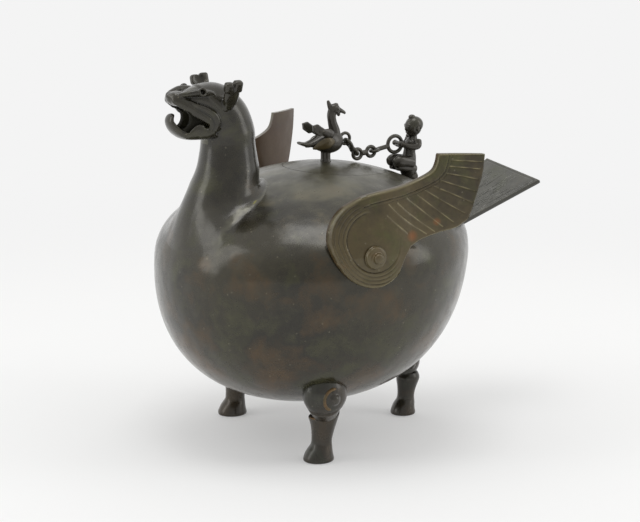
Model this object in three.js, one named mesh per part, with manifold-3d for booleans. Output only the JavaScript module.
// A bronze wine vessel in the shape of a bird: a round pot on three scrolled legs, with a hollow neck that
// pours through an open beak, raised wings, a fan tail, and a flush lid that hangs on a short chain from
// the hands of a kneeling figure. Millimetres, +Z up, the bird faces +X and its left side is +Y.
import * as THREE from 'three';
import { mergeVertices } from 'three/addons/utils/BufferGeometryUtils.js';
import Module from 'manifold-3d';

const wasm = await Module();
wasm.setup();

// Fits
const castGap = 0.3; // between castings that sit on each other
const lidGap = 0.35; // round the lid in its well and round its collar

// Belly: a round pot with a low dome above the girth and a deep bowl below it
const girthRadius = 109.2;
const girthHeight = 138;
const domeRise = 54.5;
const bowlDepth = 108;
const domeFullness = 1.72; // 2 would be an ellipse
const bowlFullness = 2.41;
const bellyLead = 4.6; // how far the girth's centre stands ahead of the feet's centre
const bowlLean = 0.09; // the belly leans back by this much for each millimetre of height
const domeLean = 0.15;
const shellWall = 3.2;

// Mouth and lid: the lid is a round piece of the dome, let into a well with a ledge at the bottom
const mouthX = -13;
const lidRadius = 36;
const lidRim = 3;
const wellDepth = 7; // from the lowest point of the well's edge down to the ledge
const wellWall = 3;
const ledgeReach = 5;
const ledgeThickness = 3;
const collarDepth = 8; // how far the lid's collar reaches below the ledge's top
const collarWall = 2.6;

// Neck
const neckSetback = 43.8; // from the belly's front to the middle of the neck's top
const neckTop = 74; // above the girth
const neckTopRadius = 18.4;
const neckBaseRadius = 39;
const boreTopRadius = 13.4;
const boreBaseRadius = 19.5;
const neckTubeWall = 2; // of the short tube that passes through the shell
const spigotRadius = 16.4;
const spigotHeight = 6;

// Head, measured from the middle of the neck's top
const snoutReach = 45.5;
const headHeight = 40.5;
const jawReach = 42.5;
const earRadius = 7;
const eyeRadius = 2.2;
const eyeRim = 0.9;

// Wings
const wingThickness = 4.4;
const shoulderRadius = 29.6; // half the height of the round front end of a wing
const shoulderReach = 26.4; // from the shoulder's middle to its front
const shoulderX = 22;
const shoulderRise = 19.5; // of the shoulder's middle above the girth
const wingTipX = -51;
const wingTipRise = 73.4; // above the girth
const wingTipWidth = 25.6;
const wingRearRise = 31; // of the rear edge's low end above the girth
const wingFlare = 14; // how far the tip swings out
const wingLean = 0.17; // inward lean of the shoulder's upper part
const wingTuck = 6; // how far the shoulder's front bends in over the dome
const rivetX = 23;
const rivetRise = 10.2; // above the girth
const rivetRadius = 2.6;
const rivetHeadRadius = 7.2;
const rivetHeadHeight = 3;
const rivetKnobRadius = 3;

// Tail
const tailLength = 76;
const tailRootWidth = 38;
const tailEndWidth = 61;
const tailThickness = 3.6;
const tailRise = THREE.MathUtils.degToRad(25);
const tailRoll = THREE.MathUtils.degToRad(8);
const tailRootHeight = 2; // of the tail's root above the girth
const tailRootDepth = 6.5; // of the tail's root inside the rear of the shell
const tenonWidth = 16;

// Legs, first the two front ones and then what differs on the rear one
const feetRadius = 72; // of the circle that the three feet stand on
const footLength = 21.6;
const footWidth = 20;
const ankleRadius = 6.8;
const ankleHeight = 13;
const ankleSetback = 2.3; // behind the foot's middle
const socketRadius = 10.8;
const socketSetback = 4.2;
const scrollSink = 14.8; // from the scroll's middle down to the rim of the foot
const socketDepth = 4;
const socketWall = 2.2;
const scrollRadius = 14.3;
const scrollThickness = 24;
const scrollRise = 16; // of the scroll's middle above the lowest point of the belly
const scrollSetback = 0.6;
const scrollOutset = 8; // a front scroll stands this far outside its foot
const legPegRadius = 4;
const rearFootLength = 18.6;
const rearFootWidth = 18;
const rearAnkleRadius = 6;
const rearSocketRadius = 8.8;
const rearScrollRadius = 10;
const rearScrollThickness = 16;

// Little bird on the lid
const perchX = -6.2;
const perchRadius = 3.5;
const perchHeight = 8;
const birdTenonRadius = 2.3;
const clenchDepth = 1.6;
const clenchSpread = 4.2;
const loopRadius = 3.8;
const wireRadius = 1.15;

// Chain
const eyeLoopRadius = 3.05; // of a link's small end loops, to the middle of the wire
const chainPlay = 0.3;
const middleLoopRadius = 3.3; // the middle link's loops are a little wider
const middleLinkSlack = 0.2; // the figure's link sits this far from the middle of the rear loop
const birdLinkLength = 13.9;
const birdLinkAngle = THREE.MathUtils.degToRad(51.5); // below the level, towards the tail
const figureLinkLength = 22.7;
const figureLinkAngle = THREE.MathUtils.degToRad(10.4);
const bigRingRadius = 5.8;
const bigRingWire = 1.35;
const linkBarRadius = 1.6;

// Kneeling figure
const figureX = -73;
const figurePad = 3; // under the knees, above the shell
const handsReach = 7.5; // from the figure's middle forward to the hands
const handsRise = 22.4; // above the pad
const handBarRadius = 1.6;
const armSpread = 4.6;
const figureHeadRadius = 6.6;
const figureTenonRadius = 2.3;

const roundSides = 36;

function vec(x, y, z) {
  return new THREE.Vector3(x, y, z);
}

// A closed geometry as a solid that can be joined and cut
function solidOf(geometry) {
  const bare = new THREE.BufferGeometry();
  bare.setAttribute('position', geometry.getAttribute('position'));
  bare.setIndex(geometry.index);
  const merged = mergeVertices(bare, 1e-4);
  const corners = merged.index.array;
  const faces = [];
  for (let i = 0; i < corners.length; i += 3) {
    const [a, b, c] = [corners[i], corners[i + 1], corners[i + 2]];
    if (a !== b && b !== c && c !== a) faces.push(a, b, c);
  }
  return new wasm.Manifold(new wasm.Mesh({
    numProp: 3,
    vertProperties: new Float32Array(merged.getAttribute('position').array),
    triVerts: new Uint32Array(faces),
  }));
}

function geometryOf(solid) {
  const mesh = solid.getMesh();
  const geometry = new THREE.BufferGeometry();
  geometry.setAttribute('position', new THREE.BufferAttribute(mesh.vertProperties, 3));
  geometry.setIndex(new THREE.BufferAttribute(mesh.triVerts, 1));
  geometry.computeVertexNormals();
  return geometry;
}

function join(...solids) {
  return solids.reduce((whole, next) => whole.add(next));
}

function cut(solid, ...tools) {
  return tools.reduce((rest, tool) => rest.subtract(tool), solid);
}

// A solid skinned over a row of closed rings that all have the same number of points
function loft(rings) {
  const count = rings[0].length;
  const points = rings.flat();
  const faces = [];
  for (let r = 0; r + 1 < rings.length; r += 1) {
    for (let i = 0; i < count; i += 1) {
      const a = r * count + i;
      const b = r * count + ((i + 1) % count);
      faces.push(a, b, a + count, b, b + count, a + count);
    }
  }
  const last = (rings.length - 1) * count;
  for (const [start, turned] of [[0, true], [last, false]]) {
    const middle = points.length;
    const ring = start ? rings[rings.length - 1] : rings[0];
    points.push(ring.reduce((sum, p) => sum.add(p), vec(0, 0, 0)).divideScalar(count));
    for (let i = 0; i < count; i += 1) {
      const [a, b] = [start + i, start + ((i + 1) % count)];
      faces.push(middle, turned ? b : a, turned ? a : b);
    }
  }
  let volume = 0;
  for (let i = 0; i < faces.length; i += 3) {
    const [a, b, c] = [points[faces[i]], points[faces[i + 1]], points[faces[i + 2]]];
    volume += a.dot(b.clone().cross(c));
  }
  if (volume < 0) faces.reverse();
  const geometry = new THREE.BufferGeometry().setFromPoints(points);
  geometry.setIndex(faces);
  return solidOf(geometry);
}

// An upright ring, level with the ground
function levelRing(x, y, z, halfLength, halfWidth, sides) {
  return Array.from({ length: sides }, (_, i) => {
    const turn = (2 * Math.PI * i) / sides;
    return vec(x + halfLength * Math.cos(turn), y + halfWidth * Math.sin(turn), z);
  });
}

// A solid swept along a smooth path in the bird's middle plane. Each stop is [x, z, half width, half height].
function sweep(stops, steps, sides, y = 0) {
  const path = new THREE.CatmullRomCurve3(stops.map(([x, z]) => vec(x, y, z)));
  const sizes = new THREE.CatmullRomCurve3(stops.map(([, , wide, high]) => vec(wide, high, 0)));
  const across = vec(0, 1, 0);
  const rings = [];
  for (let s = 0; s <= steps; s += 1) {
    const middle = path.getPoint(s / steps);
    const size = sizes.getPoint(s / steps);
    const rise = path.getTangent(s / steps).cross(across);
    rings.push(Array.from({ length: sides }, (_, i) => {
      const turn = (2 * Math.PI * i) / sides;
      return middle.clone().addScaledVector(across, size.x * Math.cos(turn))
        .addScaledVector(rise, size.y * Math.sin(turn));
    }));
  }
  return loft(rings);
}

// An egg-shaped lump, turned about Y
function lump(x, y, z, rx, ry, rz, turn = 0, sides = 8) {
  const geometry = new THREE.SphereGeometry(1, sides, Math.round(sides * 0.6));
  geometry.scale(rx, ry, rz).rotateY(turn).translate(x, y, z);
  return solidOf(geometry);
}

// A round rod between two points
function rod(from, to, radius, endRadius = radius, sides = 8) {
  const along = to.clone().sub(from);
  const geometry = new THREE.CylinderGeometry(endRadius, radius, along.length(), sides);
  const turn = new THREE.Quaternion().setFromUnitVectors(vec(0, 1, 0), along.clone().normalize());
  geometry.applyQuaternion(turn);
  geometry.translate(...from.clone().addScaledVector(along, 0.5).toArray());
  return solidOf(geometry);
}

function upright(x, y, bottom, top, radius, sides = roundSides) {
  return rod(vec(x, y, bottom), vec(x, y, top), radius, radius, sides);
}

// A wire ring. Its plane holds the direction given and either the Y axis or the bird's middle plane.
function wireRing(centre, radius, wire, direction, crosswise) {
  const geometry = new THREE.TorusGeometry(radius, wire, 6, 14);
  geometry.rotateX(crosswise ? 0 : Math.PI / 2);
  geometry.rotateY(Math.atan2(-direction.z, direction.x));
  geometry.translate(...centre.toArray());
  return solidOf(geometry);
}

// Belly surface
function bellyCentre(z) {
  return bellyLead - (z > girthHeight ? domeLean : bowlLean) * (z - girthHeight);
}

function bellyRadius(z, inset = 0) {
  const dome = z > girthHeight;
  const fullness = dome ? domeFullness : bowlFullness;
  const part = Math.min(1, Math.abs(z - girthHeight) / ((dome ? domeRise : bowlDepth) - inset));
  return (girthRadius - inset) * (1 - part ** fullness) ** (1 / fullness);
}

// Height of the shell over or under a point, found by halving
function shellHeight(x, y, dome, inset = 0) {
  let near = girthHeight;
  let far = dome ? girthHeight + domeRise - inset : girthHeight - bowlDepth + inset;
  for (let i = 0; i < 40; i += 1) {
    const z = (near + far) / 2;
    if (Math.hypot(x - bellyCentre(z), y) < bellyRadius(z, inset)) near = z;
    else far = z;
  }
  return near;
}

function bellySolid(inset, steps) {
  const rings = [];
  for (let s = 0; s <= steps; s += 1) {
    const turn = Math.PI * (s / steps - 0.5);
    const dome = turn > 0;
    const power = 2 / (dome ? domeFullness : bowlFullness);
    const rise = ((dome ? domeRise : bowlDepth) - inset) * Math.abs(Math.sin(turn)) ** power;
    const z = girthHeight + (dome ? rise : -rise);
    const end = s === 0 || s === steps;
    const radius = end ? 0 : (girthRadius - inset) * Math.cos(turn) ** power;
    rings.push(levelRing(bellyCentre(z), 0, z, radius, radius, roundSides));
  }
  return loft(rings);
}

const bellyOuter = bellySolid(0, 16);
const bellyInner = bellySolid(shellWall, 10);
const bellySeat = bellySolid(-castGap, 16);

// Places that follow from the belly
const bellyFront = bellyLead + girthRadius;
const bellyRear = bellyLead - girthRadius;
const neckX = bellyFront - neckSetback;
const neckTopZ = girthHeight + neckTop;
const wellRadius = lidRadius + lidGap;
const wellEdge = Math.min(shellHeight(mouthX - wellRadius, 0, true), shellHeight(mouthX + wellRadius, 0, true));
const ledgeTop = wellEdge - wellDepth;
const ledgeRadius = wellRadius - ledgeReach;
const skyZ = girthHeight + domeRise + 20;
const scrollHeight = girthHeight - bowlDepth + scrollRise;
const shankHeight = scrollHeight - scrollSink;

// Neck
const neckStops = [
  // height below the top, how far forward of the top's middle, radius
  [0, 0, neckTopRadius],
  [9, 0, neckTopRadius + 1.2],
  [18, 0.4, neckTopRadius + 2.9],
  [28, 2.8, neckTopRadius + 5.2],
  [41, 4, neckTopRadius + 9.6],
  [53, 4, neckTopRadius + 14.8],
  [64, 2.4, neckBaseRadius - 1.4],
  [74, 1.8, neckBaseRadius],
  [92, 0, neckBaseRadius - 2],
];
const boreDepth = 92;

function neckOuter() {
  return loft(neckStops.map(([down, forward, radius]) => (
    levelRing(neckX + forward, 0, neckTopZ - down, radius, radius, 28))));
}

// The wine's way through the neck, widened by a margin
function neckBore(margin) {
  const stops = [[-spigotHeight - 2, 0], [8, 0], [26, 1.8], [40, 0.4], [boreDepth, -8]];
  return loft(stops.map(([down, forward]) => {
    const share = THREE.MathUtils.clamp(down / 40, 0, 1);
    const radius = THREE.MathUtils.lerp(boreTopRadius, boreBaseRadius, share) + margin;
    return levelRing(neckX + forward, 0, neckTopZ - down, radius, radius, 24);
  }));
}

function makeNeck() {
  const trimmed = cut(neckOuter(), bellySeat);
  const innerEnd = bellySolid(shellWall + 2, 10);
  const tube = neckBore(neckTubeWall).intersect(cut(bellySolid(-castGap - 1, 16), innerEnd));
  const spigot = upright(neckX, 0, neckTopZ - 2, neckTopZ + spigotHeight, spigotRadius, 24);
  return cut(join(trimmed, tube, spigot), neckBore(0));
}

// Head
function mirrored(make) {
  return join(make(1), make(-1));
}

function makeHead() {
  const at = (forward, up) => [neckX + forward, neckTopZ + up];
  const seat = castGap;
  const skull = sweep([
    [...at(-0.5, seat), 18.6, 18.6],
    [...at(0.5, 9), 18, 19],
    [...at(5, 19), 17, 18],
    [...at(13, 26.5), 15.5, 15],
    [...at(23, 30.2), 13.6, 10.6],
    [...at(snoutReach - 11, 32.6), 10.6, 8],
    [...at(snoutReach - 3.6, 32.6), 6.4, 5],
    [...at(snoutReach, 30.6), 2.2, 1.8],
  ], 13, 14);
  const jaw = sweep([
    [...at(12, 8), 13, 5],
    [...at(25, 6.3), 11.6, 3],
    [...at(33.8, 6.8), 9.6, 2.6],
    [...at(39.4, 10), 8, 2.5],
    [...at(jawReach, 15.4), 6, 2.2],
    [...at(41.6, 19.6), 4, 1.8],
    [...at(39.4, 20.2), 2, 1],
  ], 11, 10);
  const ears = mirrored((side) => join(
    lump(neckX + 6, 19.5 * side, neckTopZ + headHeight - 3, earRadius - 1, 4.6, earRadius, 0),
    lump(neckX + 9.5, 18 * side, neckTopZ + 29, 4, 4, 7, -0.4),
  ));
  const eyes = mirrored((side) => {
    const geometry = new THREE.TorusGeometry(eyeRadius, eyeRim, 5, 10);
    geometry.rotateX(Math.PI / 2 - 0.6 * side);
    geometry.translate(neckX + 25.6, 11 * side, neckTopZ + 35.6);
    return solidOf(geometry);
  });
  const nostrils = mirrored((side) => lump(neckX + 35.2, 4.4 * side, neckTopZ + 39, 3.2, 2.6, 2));
  const cheeks = mirrored((side) => lump(neckX + 15.5, 13 * side, neckTopZ + 14, 5.4, 4, 5.4));
  const fangs = mirrored((side) => rod(
    vec(neckX + 30, 9 * side, neckTopZ + 22),
    vec(neckX + 33, 8.4 * side, neckTopZ + 8),
    1.7, 1.4, 10,
  ));
  const throat = sweep([
    [...at(-0.2, -3), boreTopRadius, boreTopRadius],
    [...at(0.3, 7), boreTopRadius - 0.8, boreTopRadius - 1],
    [...at(4.5, 14), 10, 8],
    [...at(14, 14.6), 8, 4.6],
    [...at(28, 16), 7, 4.6],
  ], 8, 12);
  const socket = upright(neckX, 0, neckTopZ - 3, neckTopZ + spigotHeight + castGap, spigotRadius + castGap, 24);
  const below = upright(neckX, 0, neckTopZ - 20, neckTopZ + castGap, 2 * neckTopRadius, 24);
  return cut(join(skull, jaw, ears, eyes, nostrils, cheeks, fangs), throat, socket, below);
}

// Lid and little bird
const perchZ = shellHeight(perchX, 0, true);

function makeLid() {
  const plug = upright(mouthX, 0, ledgeTop + castGap, skyZ, lidRadius).intersect(bellyOuter);
  const hollow = upright(mouthX, 0, ledgeTop - 1, skyZ, lidRadius - lidRim).intersect(bellyInner);
  const collarOuter = ledgeRadius - lidGap;
  const collarSpace = bellySolid(shellWall / 2, 10);
  const collar = cut(
    upright(mouthX, 0, ledgeTop - collarDepth, skyZ, collarOuter),
    upright(mouthX, 0, ledgeTop - collarDepth - 1, skyZ, collarOuter - collarWall),
  ).intersect(collarSpace);
  const tenonHole = upright(perchX, 0, ledgeTop, skyZ, birdTenonRadius + castGap, 14);
  return cut(join(cut(plug, hollow), collar), tenonHole);
}

const loopCentre = vec(perchX - 15.6, 0, perchZ + 14.6);

function makeLidBird() {
  const at = (x, z, ...size) => [perchX + x, perchZ + z, ...size];
  const under = shellHeight(perchX, 0, true, shellWall) - castGap - 2 * clenchDepth;
  const post = join(
    cut(upright(perchX, 0, perchZ - 2, perchZ + perchHeight, perchRadius, 16), bellySeat),
    upright(perchX, 0, under, perchZ + perchHeight, birdTenonRadius, 14),
    upright(perchX, 0, under, perchZ, clenchSpread, 16).intersect(bellySolid(shellWall + castGap, 10)),
  );
  const body = lump(perchX - 1.2, 0, perchZ + perchHeight + 5.6, 12, 7.6, 7.4, -0.1, 10);
  const tail = sweep([
    at(7, perchHeight + 5, 4.4, 3.4),
    at(13, perchHeight + 4.6, 4.2, 1.8),
    at(21, perchHeight + 5.8, 4, 1.1),
  ], 4, 8);
  const neck = sweep([
    at(-8, perchHeight + 8, 5, 5),
    at(-7.4, perchHeight + 16, 3.8, 3.6),
    at(-5.6, perchHeight + 23, 3.2, 3.2),
    at(-7.2, perchHeight + 28, 3.6, 3.4),
  ], 6, 10);
  const head = lump(perchX - 7.4, 0, perchZ + perchHeight + 27, 5, 3.8, 4.6);
  const beak = rod(
    vec(perchX - 9.5, 0, perchZ + perchHeight + 26),
    vec(perchX - 15.9, 0, perchZ + perchHeight + 24.3),
    2.6, 0.7, 10,
  );
  const crest = rod(
    vec(perchX - 4.4, 0, perchZ + perchHeight + 28),
    vec(perchX - 2.2, 0, perchZ + perchHeight + 34.4),
    2.4, 0.8, 10,
  );
  const wings = mirrored((side) => lump(
    perchX + 6, 6.4 * side, perchZ + perchHeight + 13.4, 11.4, 1.9, 4, -0.38,
  ));
  const loop = wireRing(loopCentre, loopRadius, wireRadius, vec(1, 0, 0), false);
  return join(post, body, tail, neck, head, beak, crest, wings, loop);
}

// Chain: the bird's link and the figure's link hang from their ends, and the middle link spans what is left
const figureZ = shellHeight(figureX, 0, true) + figurePad;
const hands = vec(figureX + handsReach, 0, figureZ + handsRise);
const birdLinkWay = vec(-Math.cos(birdLinkAngle), 0, -Math.sin(birdLinkAngle));
const figureLinkWay = vec(Math.cos(figureLinkAngle), 0, -Math.sin(figureLinkAngle));
const loopPlay = loopRadius - 2 * wireRadius - chainPlay;
const birdPin = loopCentre.clone().addScaledVector(birdLinkWay, loopPlay);
const birdPinLow = birdPin.clone().addScaledVector(birdLinkWay, birdLinkLength);
const figurePin = hands.clone().addScaledVector(figureLinkWay, figureLinkLength);

function makeBirdLink() {
  const top = birdPin.clone().addScaledVector(birdLinkWay, eyeLoopRadius);
  const low = birdPinLow.clone().addScaledVector(birdLinkWay, -eyeLoopRadius);
  return join(
    wireRing(top, eyeLoopRadius, wireRadius, birdLinkWay, true),
    wireRing(low, eyeLoopRadius, wireRadius, birdLinkWay, true),
    rod(
      top.clone().addScaledVector(birdLinkWay, eyeLoopRadius),
      low.clone().addScaledVector(birdLinkWay, -eyeLoopRadius),
      linkBarRadius,
    ),
  );
}

function makeMiddleLink() {
  const way = figurePin.clone().sub(birdPinLow).normalize();
  const taut = middleLoopRadius - 2 * wireRadius - chainPlay;
  const front = birdPinLow.clone().addScaledVector(way, taut);
  const rear = figurePin.clone().addScaledVector(way, -middleLinkSlack);
  return join(
    wireRing(front, middleLoopRadius, wireRadius, way, false),
    wireRing(rear, middleLoopRadius, wireRadius, way, false),
    rod(
      front.clone().addScaledVector(way, middleLoopRadius),
      rear.clone().addScaledVector(way, -middleLoopRadius),
      linkBarRadius,
    ),
  );
}

function makeFigureLink() {
  const eye = figurePin.clone().addScaledVector(figureLinkWay, -eyeLoopRadius);
  const play = bigRingRadius - bigRingWire - handBarRadius - chainPlay;
  const ring = hands.clone().addScaledVector(figureLinkWay, play);
  return join(
    wireRing(eye, eyeLoopRadius, wireRadius, figureLinkWay, true),
    wireRing(ring, bigRingRadius, bigRingWire, figureLinkWay, false),
    rod(
      eye.clone().addScaledVector(figureLinkWay, -eyeLoopRadius),
      ring.clone().addScaledVector(figureLinkWay, bigRingRadius),
      linkBarRadius,
    ),
  );
}

// Kneeling figure
function makeFigure() {
  const at = (x, z) => [figureX + x, figureZ + z];
  const torso = sweep([
    [...at(-1.5, 7), 6, 5.4],
    [...at(-2.6, 16), 5, 4.1],
    [...at(-5.2, 22.5), 7.2, 4.8],
    [...at(-5.8, 27), 3.2, 3],
    [...at(-5.6, 30), 2.8, 2.8],
  ], 6, 10);
  const head = lump(
    figureX - 5.8, 0, figureZ + 34.6, figureHeadRadius, figureHeadRadius - 0.8, figureHeadRadius, 0, 10);
  const knot = lump(figureX - 5.2, 0, figureZ + 34.6 + figureHeadRadius, 3, 2.6, 2);
  const legs = mirrored((side) => join(
    rod(vec(figureX - 2, 3.6 * side, figureZ + 8.6), vec(figureX + 11, 4.2 * side, figureZ + 10), 4.4, 3.8),
    lump(figureX + 11, 4.2 * side, figureZ + 9.6, 4.2, 3.8, 4.6),
    rod(vec(figureX + 10, 4 * side, figureZ + 7.4), vec(figureX - 5, 3.6 * side, figureZ + 5), 3.4, 3),
  ));
  const seat = lump(figureX - 1.5, 0, figureZ + 4, 5.6, 6.4, 7.4);
  const arms = mirrored((side) => join(
    rod(vec(figureX - 5.6, 6.2 * side, figureZ + 24), vec(hands.x, armSpread * side, hands.z), 2.5, 1.9),
    lump(figureX - 5.4, 6.2 * side, figureZ + 23.6, 3, 2.6, 3),
  ));
  const grip = rod(vec(hands.x, -armSpread, hands.z), vec(hands.x, armSpread, hands.z), handBarRadius);
  const inside = shellHeight(figureX, 0, true, shellWall) - 2;
  const tenon = upright(figureX, 0, inside, figureZ + 4, figureTenonRadius, 14);
  return join(cut(join(torso, head, knot, legs, seat, arms, grip), bellySeat), tenon);
}

// Wings
const shoulderZ = girthHeight + shoulderRise;
const wingReach = girthRadius + castGap + wingThickness / 2;
const flareX = shoulderX - 27;
const rivetZ = girthHeight + rivetRise;
const clenchZ = rivetZ + clenchSpread;
const clenchY = Math.sqrt(
  bellyRadius(clenchZ, shellWall) ** 2 - (rivetX + clenchSpread - bellyCentre(clenchZ)) ** 2);

// Distance of a wing's middle surface from the bird's middle plane
function wingStand(x, z) {
  const bow = Math.sqrt(wingReach ** 2 - (Math.max(x, flareX) - bellyLead) ** 2);
  const out = wingFlare * (Math.max(0, flareX - x) / (flareX - wingTipX)) ** 2;
  const front = THREE.MathUtils.clamp((x - wingTipX) / (shoulderX - wingTipX), 0, 1);
  const ahead = Math.max(0, x - rivetX) / (shoulderX + shoulderReach - rivetX);
  const above = THREE.MathUtils.clamp((z - girthHeight) / shoulderRise, 0, 1);
  return bow + out - wingLean * front * Math.max(0, z - rivetZ) - wingTuck * above * ahead ** 2;
}

// The edges of a wing are smooth lines from the round shoulder to the square tip
const wingTipFront = wingTipX + wingTipWidth;
const wingTipZ = girthHeight + wingTipRise;
const wingRearX = wingTipX + 6;
const wingRearZ = girthHeight + wingRearRise;
const leaveUp = 0.9; // where the upper edge leaves the round shoulder, as an angle
const leaveDown = -1.75;

function onShoulder(angle) {
  return new THREE.Vector2(
    shoulderX + shoulderReach * Math.cos(angle), shoulderZ + shoulderRadius * Math.sin(angle));
}

const upperEdge = new THREE.SplineCurve([
  onShoulder(leaveUp),
  new THREE.Vector2(shoulderX + 4, shoulderZ + 29.6),
  new THREE.Vector2(shoulderX - 21, shoulderZ + 34.2),
  new THREE.Vector2(shoulderX - 33, shoulderZ + 37.6),
  new THREE.Vector2(wingTipFront + 4.5, wingTipZ - 11.4),
  new THREE.Vector2(wingTipFront + 1.2, wingTipZ - 6),
  new THREE.Vector2(wingTipFront, wingTipZ),
]).getPoints(48);
const lowerEdge = new THREE.SplineCurve([
  onShoulder(leaveDown),
  new THREE.Vector2(shoulderX - 16, shoulderZ - 22),
  new THREE.Vector2(shoulderX - 26, shoulderZ - 5),
  new THREE.Vector2(shoulderX - 44, shoulderZ + 2),
  new THREE.Vector2(wingRearX + 9, wingRearZ - 7),
  new THREE.Vector2(wingRearX + 4, wingRearZ - 4.4),
  new THREE.Vector2(wingRearX, wingRearZ),
  new THREE.Vector2(wingTipX + 1.4, wingTipZ - 16),
  new THREE.Vector2(wingTipX, wingTipZ - 1),
]).getPoints(60);

// Height of a line that runs from front to rear, at a place along it
function heightOn(line, x) {
  const next = line.findIndex((point) => point.x <= x);
  const [a, b] = [line[Math.max(0, next - 1)], line[Math.max(0, next)]];
  return next < 1 ? b.y : a.y + ((b.y - a.y) * (a.x - x)) / (a.x - b.x);
}

// The plate of a wing, thickened on both faces by a margin
function wingPlate(side, margin) {
  const half = wingThickness / 2 + margin;
  const stations = [0.12, 0.32, 0.6, leaveUp].map((angle) => onShoulder(angle).x);
  const plain = Math.round((stations[3] - wingTipFront) / 6);
  for (let i = 1; i < plain; i += 1) {
    stations.push(THREE.MathUtils.lerp(stations[3], wingTipFront + 1.2, i / plain));
  }
  stations.push(wingTipFront + 1.2, wingTipFront, wingTipFront - 8, wingRearX + 9, wingRearX + 4, wingRearX + 0.2);
  stations.push(wingTipX + 3.4, wingTipX + 1.4, wingTipX + 0.2);
  const rows = 7;
  const rings = stations.map((x) => {
    const round = shoulderRadius * Math.sqrt(Math.max(0, 1 - ((x - shoulderX) / shoulderReach) ** 2));
    const top = x > upperEdge[0].x ? shoulderZ + round : heightOn(upperEdge, Math.max(x, wingTipFront));
    const low = x > lowerEdge[0].x ? shoulderZ - round : heightOn(lowerEdge, x);
    const outer = [];
    const inner = [];
    for (let r = 0; r < rows; r += 1) {
      const z = THREE.MathUtils.lerp(low, top, r / (rows - 1));
      const y = wingStand(x, z);
      outer.push(vec(x, side * (y + half), z));
      inner.unshift(vec(x, side * (y - half), z));
    }
    return [...outer, ...inner];
  });
  return loft(rings);
}

function makeWing(side) {
  const hole = rivetRod(side, clenchY, girthRadius + 2 * wingThickness, rivetRadius + castGap);
  return cut(wingPlate(side, 0), bellySeat, hole);
}

// A rivet through a wing and the shell, with a round boss outside and its end hammered out inside
function rivetRod(side, from, to, radius, endRadius = radius, sides = 12) {
  return rod(vec(rivetX, side * from, rivetZ), vec(rivetX, side * to, rivetZ), radius, endRadius, sides);
}

function makeRivet(side) {
  const middle = wingStand(rivetX, rivetZ);
  const face = middle + wingThickness / 2;
  const inner = clenchY - clenchDepth;
  const boss = rivetRod(side, middle, face + rivetHeadHeight, rivetHeadRadius, rivetHeadRadius - 1.6, 18);
  return join(
    rivetRod(side, inner, face + 1, rivetRadius),
    rivetRod(side, inner, face, clenchSpread).intersect(bellySolid(shellWall + castGap, 10)),
    cut(boss, wingPlate(side, castGap)),
    lump(rivetX, side * (face + rivetHeadHeight), rivetZ, rivetKnobRadius, 2.2, rivetKnobRadius),
  );
}

// Tail, laid out flat and then raised and rolled about its root
function tailPlaced(geometry) {
  geometry.rotateX(-tailRoll).rotateY(tailRise);
  geometry.translate(bellyRear + tailRootDepth, 0, girthHeight + tailRootHeight);
  return solidOf(geometry);
}

function makeTail() {
  const outline = new THREE.Shape();
  outline.moveTo(0, -tailRootWidth / 2);
  outline.lineTo(0, tailRootWidth / 2);
  outline.lineTo(-tailLength, tailEndWidth / 2);
  outline.lineTo(-tailLength, -tailEndWidth / 2);
  const blade = new THREE.ExtrudeGeometry(outline, { depth: tailThickness, bevelEnabled: false, curveSegments: 8 });
  blade.translate(0, 0, -tailThickness / 2);
  return join(cut(tailPlaced(blade), bellySeat), tailTenon(0));
}

function tailTenon(margin) {
  const length = 2 * tailRootDepth + 8;
  const bar = new THREE.BoxGeometry(length, tenonWidth + 2 * margin, tailThickness - 0.6 + 2 * margin);
  return tailPlaced(bar.translate(-length / 2 + 4, 0, 0));
}

// Legs
const frontLeg = {
  length: footLength,
  width: footWidth,
  ankle: ankleRadius,
  rim: socketRadius,
  radius: scrollRadius,
  thick: scrollThickness,
};
const rearLeg = {
  length: rearFootLength,
  width: rearFootWidth,
  ankle: rearAnkleRadius,
  rim: rearSocketRadius,
  radius: rearScrollRadius,
  thick: rearScrollThickness,
};
const legPlaces = [
  { ...frontLeg, name: 'front_left', turn: Math.PI / 3, outset: scrollOutset },
  { ...frontLeg, name: 'front_right', turn: -Math.PI / 3, outset: -scrollOutset },
  { ...rearLeg, name: 'rear', turn: Math.PI, outset: 0 },
].map((leg) => {
  const x = feetRadius * Math.cos(leg.turn);
  const y = feetRadius * Math.sin(leg.turn);
  return { ...leg, x, y, scrollX: x - scrollSetback, scrollY: y + leg.outset, socketX: x - socketSetback };
});

function makeShank({ x, y, socketX, length, width, ankle, rim }) {
  const ankleX = x - ankleSetback;
  const rings = [
    [0, x, length / 2 - 0.6, width / 2 - 0.6],
    [1, x, length / 2, width / 2],
    [5, x, length / 2 - 0.8, width / 2 - 0.6],
    [9, x - ankleSetback / 2, ankle + 1.4, ankle + 1],
    [ankleHeight, ankleX, ankle, ankle],
    [(ankleHeight + shankHeight) / 2, (ankleX + socketX) / 2, ankle + 1.2, ankle + 1.2],
    [shankHeight, socketX, rim, rim],
  ].map(([z, middle, long, wide]) => levelRing(middle, y, z, long, wide, 18));
  const socket = upright(socketX, y, shankHeight - socketDepth, shankHeight + 5, rim - socketWall, 18);
  return cut(loft(rings), socket);
}

// The peg that holds a thigh in the shell
function legPeg({ scrollX, scrollY }, margin) {
  const top = shellHeight(scrollX, scrollY, false, shellWall) + 3;
  return upright(scrollX, scrollY, scrollHeight, top, legPegRadius + margin, 14);
}

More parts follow.
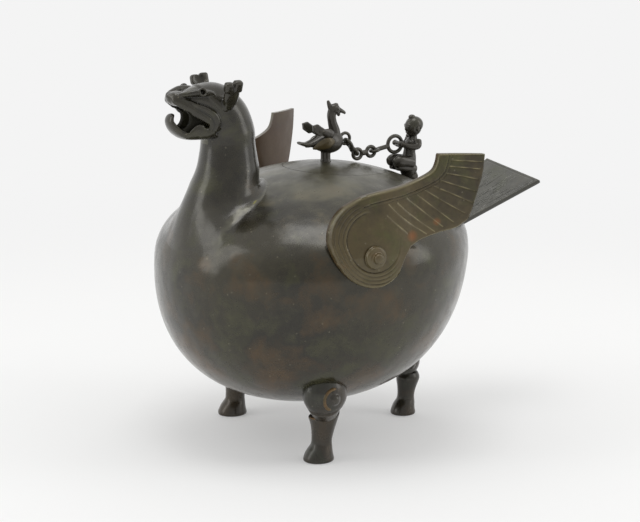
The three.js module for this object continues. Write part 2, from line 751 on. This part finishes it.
function makeThigh(leg) {
  const { y, radius, thick, rim, scrollX, scrollY, socketX } = leg;
  const half = thick / 2;
  const profile = [[0, -half], [radius - 6, -half], [radius - 2.4, 3 - half], [radius - 0.4, 7 - half], [radius, 0]];
  const mirror = profile.slice(0, -1).reverse().map(([across, along]) => [across, -along]);
  const outline = [...profile, ...mirror].map(([across, along]) => new THREE.Vector2(across, along));
  const scroll = solidOf(new THREE.LatheGeometry(outline, 20).translate(scrollX, scrollY, scrollHeight));
  const below = upright(socketX, y, 0, shankHeight + castGap, 3 * socketRadius, 18);
  const foot = upright(
    socketX, y, shankHeight - socketDepth + castGap, scrollHeight, rim - socketWall - castGap, 18);
  const top = shellHeight(scrollX, scrollY, false) + 12;
  const riser = loft([scrollHeight, top].map((z) => levelRing(scrollX, scrollY, z, radius - 2, half - 1, 18)));
  return join(cut(join(cut(scroll, below), foot, riser), bellySeat), legPeg(leg, 0));
}

// Belly with its mouth, and with the holes for what is fixed to it
function makeBelly() {
  const well = upright(mouthX, 0, ledgeTop, skyZ, wellRadius);
  const surround = upright(mouthX, 0, ledgeTop - ledgeThickness, skyZ, wellRadius + wellWall).intersect(bellyOuter);
  const through = upright(mouthX, 0, ledgeTop - ledgeThickness - 1, skyZ, ledgeRadius);
  const shell = join(cut(bellyOuter, bellyInner), surround);
  const rivetHoles = mirrored((side) => (
    rivetRod(side, clenchY, girthRadius + wingThickness, rivetRadius + castGap)));
  const figureHole = upright(figureX, 0, girthHeight, skyZ, figureTenonRadius + castGap, 14);
  const legHoles = legPlaces.map((place) => legPeg(place, castGap));
  return cut(
    shell, well, through, neckBore(neckTubeWall + castGap), rivetHoles, figureHole, tailTenon(castGap), ...legHoles,
  );
}

// Materials
function bronze(colour, roughness) {
  return new THREE.MeshStandardMaterial({ color: colour, roughness, metalness: 0.85 });
}

const bodyBronze = bronze(0x3d3a35, 0.34);
const headBronze = bronze(0x45433d, 0.38);
const wingBronze = bronze(0x4d483b, 0.42);
const tailBronze = bronze(0x55544d, 0.45);
const legBronze = bronze(0x37332d, 0.4);
const chainBronze = bronze(0x36322c, 0.4);

const vessel = new THREE.Group();

function place(name, solid, material) {
  const mesh = new THREE.Mesh(geometryOf(solid), material);
  mesh.name = name;
  vessel.add(mesh);
}

place('belly', makeBelly(), bodyBronze);
place('neck', makeNeck(), bodyBronze);
place('head', makeHead(), headBronze);
place('lid', makeLid(), bodyBronze);
place('lid_bird', makeLidBird(), headBronze);
place('chain_link_bird', makeBirdLink(), chainBronze);
place('chain_link_middle', makeMiddleLink(), chainBronze);
place('chain_link_figure', makeFigureLink(), chainBronze);
place('figure', makeFigure(), headBronze);
for (const [name, side] of [['left', 1], ['right', -1]]) {
  place(`${name}_wing`, makeWing(side), wingBronze);
  place(`${name}_wing_rivet`, makeRivet(side), wingBronze);
}
place('tail', makeTail(), tailBronze);
for (const leg of legPlaces) {
  place(`${leg.name}_thigh`, makeThigh(leg), legBronze);
  place(`${leg.name}_shank`, makeShank(leg), legBronze);
}

// The part's origin is the middle of its box, on the ground
const extent = new THREE.Box3().setFromObject(vessel, true);
const middle = extent.getCenter(vec(0, 0, 0));
vessel.position.set(-middle.x, -middle.y, -extent.min.z);

const birdVessel = new THREE.Group();
birdVessel.add(vessel);

export default birdVessel;
